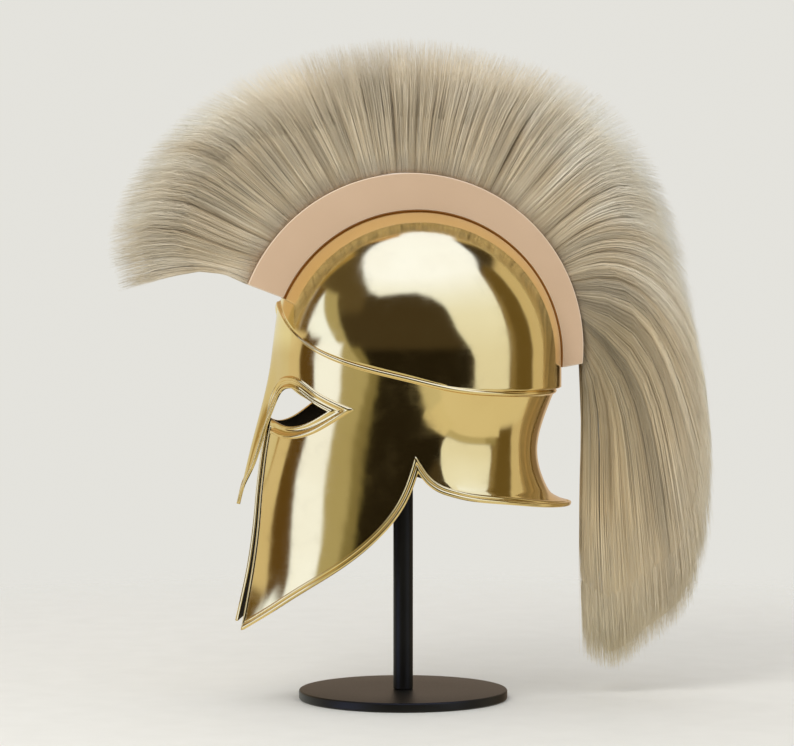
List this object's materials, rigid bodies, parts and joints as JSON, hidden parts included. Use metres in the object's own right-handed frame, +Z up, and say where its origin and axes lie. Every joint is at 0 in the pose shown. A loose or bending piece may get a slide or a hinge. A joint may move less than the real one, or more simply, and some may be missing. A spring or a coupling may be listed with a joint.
{
  "type": "corinthian helmet on display stand",
  "caption": "Polished brass Corinthian helmet with nasal, long cheek pieces and a flared neck guard, crowned by a boxed horsehair crest with a tail, held on a round stand.",
  "frame": {"origin": "centre of the underside of the stand's round base", "axes": "+Z up, the helmet faces -X, the plane of symmetry is Y = 0"},
  "size_m": [0.5095, 0.1976, 0.5555],
  "materials": {
    "polished_gold": "polished",
    "blush_paint": "satin",
    "horsehair": "matte",
    "matte_black": "matte"
  },
  "bodies": {
    "root": {"helmet_shell": "polished_gold", "crest_box": "blush_paint", "plume": "horsehair", "stand_base": "matte_black", "stand_post": "matte_black", "stand_cap": "matte_black"}
  },
  "joints": []
}
